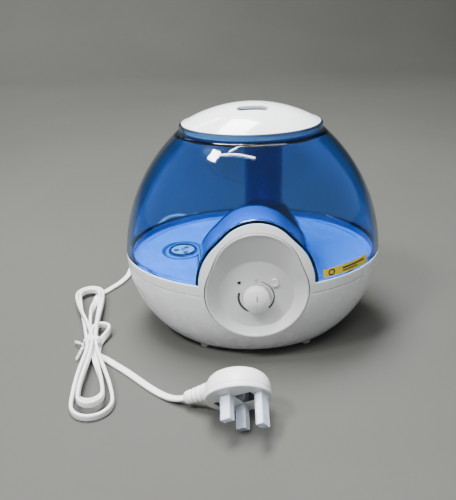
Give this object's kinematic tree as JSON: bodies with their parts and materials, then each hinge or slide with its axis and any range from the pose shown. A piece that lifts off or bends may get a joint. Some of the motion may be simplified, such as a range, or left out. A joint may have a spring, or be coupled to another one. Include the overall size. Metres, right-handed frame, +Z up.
{
  "type": "cool mist humidifier",
  "caption": "Table-top cool mist humidifier: white oval base with recessed knob panel, see-through blue lift-off tank, slotted lid and tied mains lead with plug.",
  "frame": {"origin": "on the table under the middle of the oval body; the flat front face makes the box of the body lie 2.7 mm further back than the oval", "axes": "+X to the right across the front, +Y from the front panel to the back, +Z up"},
  "size_m": [0.2938, 0.439, 0.2063],
  "materials": {
    "white_shell": "satin",
    "panel_white": "satin",
    "knob_white": "satin",
    "lid_white": "gloss",
    "tank_blue": "gloss, see-through",
    "chimney_blue": "gloss, see-through",
    "cap_white": "satin",
    "foot_rubber": "matt",
    "grey_rubber": "matt",
    "screw_steel": "plain",
    "dark_parts": "matt",
    "smoked_lens": "gloss",
    "circuit_board": "satin",
    "transducer_brass": "plain",
    "bare_aluminium": "plain",
    "float_orange": "matt",
    "reed_glass": "clear",
    "lead_white": "satin",
    "tie_white": "satin",
    "plug_white": "satin",
    "pin_brass": "polished",
    "clear_sleeve": "clear",
    "fuse_black": "gloss"
  },
  "bodies": {
    "base": {"base_lower_shell": "white_shell", "base_upper_shell": "white_shell", "rubber_feet": "foot_rubber", "base_screws": "screw_steel", "front_panel": "panel_white", "potentiometer": "dark_parts", "power_led": "smoked_lens", "button_switch": "dark_parts", "control_board": "circuit_board", "fan_housing": "dark_parts", "transducer_disc": "transducer_brass", "transducer_seal": "grey_rubber", "transducer_clamp": "screw_steel", "clamp_screws": "screw_steel", "driver_board": "circuit_board", "heat_sink": "bare_aluminium", "power_board": "circuit_board", "transformer": "dark_parts", "float_clip": "white_shell", "reed_switch": "reed_glass", "cord_gland": "lead_white", "lead_from_base": "lead_white", "lead_hank": "lead_white", "hank_tie": "tie_white", "lead_to_plug": "lead_white", "plug_body": "plug_white", "plug_grip": "plug_white", "earth_pin": "pin_brass", "power_pins": "pin_brass", "pin_sleeves": "clear_sleeve", "fuse_carrier": "fuse_black"},
    "knob": {"control_knob": "knob_white", "pot_shaft": "screw_steel"},
    "button": {"light_button": "knob_white"},
    "fan": {"fan_rotor": "dark_parts"},
    "float": {"level_float": "float_orange"},
    "tank": {"tank_dome": "tank_blue", "tank_floor": "tank_blue", "mist_chimney": "chimney_blue"},
    "cap": {"tank_cap": "cap_white", "cap_gasket": "grey_rubber", "valve_spring": "screw_steel"},
    "valve": {"valve_plunger": "cap_white", "valve_seal": "grey_rubber"},
    "top_lid": {"lid": "lid_white"}
  },
  "joints": [
    {"name": "knob_turn", "type": "hinge", "parent": "base", "child": "knob", "pos_m": [0, -0.0682, 0.0615], "axis": [0, 1, 0], "range_deg": [0, 285]},
    {"name": "button_press", "type": "slide", "parent": "base", "child": "button", "axis": [0, 1, 0], "range_m": [0, 0.001], "stiffness_N_per_m": 300, "springref_m": -0.001},
    {"name": "fan_spin", "type": "hinge", "parent": "base", "child": "fan", "pos_m": [0.004, -0.0498, 0.091], "axis": [0, 1, 0], "continuous": true},
    {"name": "float_rise", "type": "slide", "parent": "base", "child": "float", "axis": [0, 0, 1], "range_m": [0, 0.005]},
    {"name": "tank_lift", "type": "slide", "parent": "base", "child": "tank", "axis": [0, 0, 1], "range_m": [0, 0.15]},
    {"name": "cap_turn", "type": "hinge", "parent": "tank", "child": "cap", "pos_m": [-0.064, 0.004, 0.065], "axis": [0, 0, 1], "range_deg": [0, 90]},
    {"name": "valve_drop", "type": "slide", "parent": "cap", "child": "valve", "axis": [0, 0, -1], "range_m": [0, 0.003], "deforming": ["valve_spring"]},
    {"name": "lid_lift", "type": "slide", "parent": "tank", "child": "top_lid", "axis": [0, 0, 1], "range_m": [0, 0.06]}
  ],
  "couplings": [
    {"joint": "valve_drop", "follows": "tank_lift", "ratio": 0.02}
  ]
}
